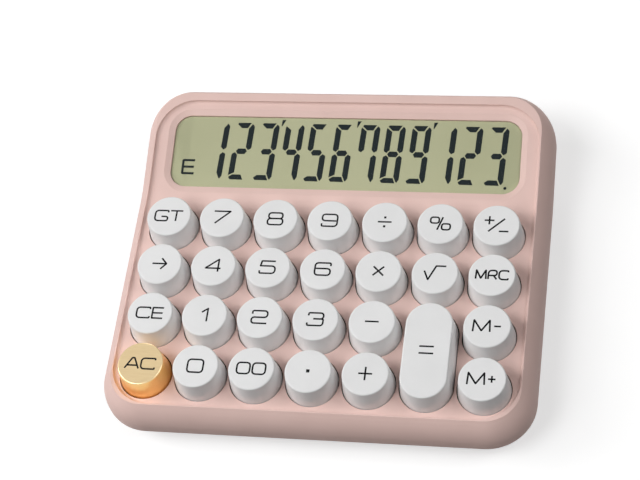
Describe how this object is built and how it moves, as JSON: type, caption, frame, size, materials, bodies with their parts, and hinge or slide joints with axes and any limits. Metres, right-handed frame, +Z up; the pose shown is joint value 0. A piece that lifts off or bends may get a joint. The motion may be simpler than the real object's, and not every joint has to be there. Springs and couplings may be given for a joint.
{
  "type": "desk calculator",
  "caption": "Desk calculator with a wide tilted display, round raised keys on a flat deck inside a rounded rim, a flared lower case on rubber feet and a sliding battery door.",
  "frame": {"origin": "on the surface it stands on, under the middle of its outline", "axes": "+X to the right along the key rows, +Y from the front towards the display, +Z up"},
  "size_m": [0.1474, 0.1292, 0.0284],
  "materials": {
    "case_plastic": "dusty pink moulded plastic, fine satin grain",
    "key_plastic": "white moulded plastic, fine satin grain",
    "gold_plastic": "gold-plated plastic, brushed top",
    "window_plastic": "clear polished plastic",
    "lcd_glass": "grey-green reflective liquid crystal glass",
    "dark_plastic": "black moulded plastic",
    "strip_rubber": "layered conductive rubber",
    "board_laminate": "green printed circuit laminate",
    "ribbon_film": "flat flexible film",
    "screw_steel": "zinc-plated steel",
    "spring_steel": "bright spring steel",
    "contact_brass": "stamped brass",
    "foot_rubber": "grey soft rubber",
    "cell_metal": "plain can",
    "lead_plastic": "insulated wire"
  },
  "bodies": {
    "case": {"top_shell": "case_plastic", "bottom_shell": "case_plastic", "display_window": "window_plastic", "lcd_panel": "lcd_glass", "lcd_frame": "dark_plastic", "zebra_strip": "strip_rubber", "display_board": "board_laminate", "main_board": "board_laminate", "controller_chip": "dark_plastic", "ribbon_cable": "ribbon_film", "display_screws": "screw_steel", "board_screws": "screw_steel", "case_screws": "screw_steel", "switch_bases": "dark_plastic", "switch_covers": "dark_plastic", "switch_contacts": "contact_brass", "switch_springs": "spring_steel", "equals_guides": "dark_plastic", "rubber_feet": "foot_rubber", "battery_cells": "cell_metal", "battery_contacts": "spring_steel", "battery_leads": "lead_plastic"},
    "key_gt": {"key_gt": "key_plastic"},
    "key_7": {"key_7": "key_plastic"},
    "key_8": {"key_8": "key_plastic"},
    "key_9": {"key_9": "key_plastic"},
    "key_divide": {"key_divide": "key_plastic"},
    "key_percent": {"key_percent": "key_plastic"},
    "key_sign": {"key_sign": "key_plastic"},
    "key_back": {"key_back": "key_plastic"},
    "key_4": {"key_4": "key_plastic"},
    "key_5": {"key_5": "key_plastic"},
    "key_6": {"key_6": "key_plastic"},
    "key_multiply": {"key_multiply": "key_plastic"},
    "key_root": {"key_root": "key_plastic"},
    "key_mrc": {"key_mrc": "key_plastic"},
    "key_ce": {"key_ce": "key_plastic"},
    "key_1": {"key_1": "key_plastic"},
    "key_2": {"key_2": "key_plastic"},
    "key_3": {"key_3": "key_plastic"},
    "key_minus": {"key_minus": "key_plastic"},
    "key_equals": {"key_equals": "key_plastic"},
    "key_m_minus": {"key_m_minus": "key_plastic"},
    "key_ac": {"key_ac": "gold_plastic"},
    "key_0": {"key_0": "key_plastic"},
    "key_00": {"key_00": "key_plastic"},
    "key_point": {"key_point": "key_plastic"},
    "key_plus": {"key_plus": "key_plastic"},
    "key_m_plus": {"key_m_plus": "key_plastic"},
    "battery_door": {"battery_door": "case_plastic"}
  },
  "joints": [
    {"name": "press_gt", "type": "slide", "parent": "case", "child": "key_gt", "axis": [0, 0, -1], "range_m": [0, 0.0035], "stiffness_N_per_m": 100, "springref_m": -0.004, "deforming": ["switch_springs"]},
    {"name": "press_7", "type": "slide", "parent": "case", "child": "key_7", "axis": [0, 0, -1], "range_m": [0, 0.0035], "stiffness_N_per_m": 100, "springref_m": -0.004, "deforming": ["switch_springs"]},
    {"name": "press_8", "type": "slide", "parent": "case", "child": "key_8", "axis": [0, 0, -1], "range_m": [0, 0.0035], "stiffness_N_per_m": 100, "springref_m": -0.004, "deforming": ["switch_springs"]},
    {"name": "press_9", "type": "slide", "parent": "case", "child": "key_9", "axis": [0, 0, -1], "range_m": [0, 0.0035], "stiffness_N_per_m": 100, "springref_m": -0.004, "deforming": ["switch_springs"]},
    {"name": "press_divide", "type": "slide", "parent": "case", "child": "key_divide", "axis": [0, 0, -1], "range_m": [0, 0.0035], "stiffness_N_per_m": 100, "springref_m": -0.004, "deforming": ["switch_springs"]},
    {"name": "press_percent", "type": "slide", "parent": "case", "child": "key_percent", "axis": [0, 0, -1], "range_m": [0, 0.0035], "stiffness_N_per_m": 100, "springref_m": -0.004, "deforming": ["switch_springs"]},
    {"name": "press_sign", "type": "slide", "parent": "case", "child": "key_sign", "axis": [0, 0, -1], "range_m": [0, 0.0035], "stiffness_N_per_m": 100, "springref_m": -0.004, "deforming": ["switch_springs"]},
    {"name": "press_back", "type": "slide", "parent": "case", "child": "key_back", "axis": [0, 0, -1], "range_m": [0, 0.0035], "stiffness_N_per_m": 100, "springref_m": -0.004, "deforming": ["switch_springs"]},
    {"name": "press_4", "type": "slide", "parent": "case", "child": "key_4", "axis": [0, 0, -1], "range_m": [0, 0.0035], "stiffness_N_per_m": 100, "springref_m": -0.004, "deforming": ["switch_springs"]},
    {"name": "press_5", "type": "slide", "parent": "case", "child": "key_5", "axis": [0, 0, -1], "range_m": [0, 0.0035], "stiffness_N_per_m": 100, "springref_m": -0.004, "deforming": ["switch_springs"]},
    {"name": "press_6", "type": "slide", "parent": "case", "child": "key_6", "axis": [0, 0, -1], "range_m": [0, 0.0035], "stiffness_N_per_m": 100, "springref_m": -0.004, "deforming": ["switch_springs"]},
    {"name": "press_multiply", "type": "slide", "parent": "case", "child": "key_multiply", "axis": [0, 0, -1], "range_m": [0, 0.0035], "stiffness_N_per_m": 100, "springref_m": -0.004, "deforming": ["switch_springs"]},
    {"name": "press_root", "type": "slide", "parent": "case", "child": "key_root", "axis": [0, 0, -1], "range_m": [0, 0.0035], "stiffness_N_per_m": 100, "springref_m": -0.004, "deforming": ["switch_springs"]},
    {"name": "press_mrc", "type": "slide", "parent": "case", "child": "key_mrc", "axis": [0, 0, -1], "range_m": [0, 0.0035], "stiffness_N_per_m": 100, "springref_m": -0.004, "deforming": ["switch_springs"]},
    {"name": "press_ce", "type": "slide", "parent": "case", "child": "key_ce", "axis": [0, 0, -1], "range_m": [0, 0.0035], "stiffness_N_per_m": 100, "springref_m": -0.004, "deforming": ["switch_springs"]},
    {"name": "press_1", "type": "slide", "parent": "case", "child": "key_1", "axis": [0, 0, -1], "range_m": [0, 0.0035], "stiffness_N_per_m": 100, "springref_m": -0.004, "deforming": ["switch_springs"]},
    {"name": "press_2", "type": "slide", "parent": "case", "child": "key_2", "axis": [0, 0, -1], "range_m": [0, 0.0035], "stiffness_N_per_m": 100, "springref_m": -0.004, "deforming": ["switch_springs"]},
    {"name": "press_3", "type": "slide", "parent": "case", "child": "key_3", "axis": [0, 0, -1], "range_m": [0, 0.0035], "stiffness_N_per_m": 100, "springref_m": -0.004, "deforming": ["switch_springs"]},
    {"name": "press_minus", "type": "slide", "parent": "case", "child": "key_minus", "axis": [0, 0, -1], "range_m": [0, 0.0035], "stiffness_N_per_m": 100, "springref_m": -0.004, "deforming": ["switch_springs"]},
    {"name": "press_equals", "type": "slide", "parent": "case", "child": "key_equals", "axis": [0, 0, -1], "range_m": [0, 0.0035], "stiffness_N_per_m": 100, "springref_m": -0.004, "deforming": ["switch_springs"]},
    {"name": "press_m_minus", "type": "slide", "parent": "case", "child": "key_m_minus", "axis": [0, 0, -1], "range_m": [0, 0.0035], "stiffness_N_per_m": 100, "springref_m": -0.004, "deforming": ["switch_springs"]},
    {"name": "press_ac", "type": "slide", "parent": "case", "child": "key_ac", "axis": [0, 0, -1], "range_m": [0, 0.0035], "stiffness_N_per_m": 100, "springref_m": -0.004, "deforming": ["switch_springs"]},
    {"name": "press_0", "type": "slide", "parent": "case", "child": "key_0", "axis": [0, 0, -1], "range_m": [0, 0.0035], "stiffness_N_per_m": 100, "springref_m": -0.004, "deforming": ["switch_springs"]},
    {"name": "press_00", "type": "slide", "parent": "case", "child": "key_00", "axis": [0, 0, -1], "range_m": [0, 0.0035], "stiffness_N_per_m": 100, "springref_m": -0.004, "deforming": ["switch_springs"]},
    {"name": "press_point", "type": "slide", "parent": "case", "child": "key_point", "axis": [0, 0, -1], "range_m": [0, 0.0035], "stiffness_N_per_m": 100, "springref_m": -0.004, "deforming": ["switch_springs"]},
    {"name": "press_plus", "type": "slide", "parent": "case", "child": "key_plus", "axis": [0, 0, -1], "range_m": [0, 0.0035], "stiffness_N_per_m": 100, "springref_m": -0.004, "deforming": ["switch_springs"]},
    {"name": "press_m_plus", "type": "slide", "parent": "case", "child": "key_m_plus", "axis": [0, 0, -1], "range_m": [0, 0.0035], "stiffness_N_per_m": 100, "springref_m": -0.004, "deforming": ["switch_springs"]},
    {"name": "door_slide", "type": "slide", "parent": "case", "child": "battery_door", "axis": [0, 1, 0], "range_m": [0, 0.0245]}
  ]
}
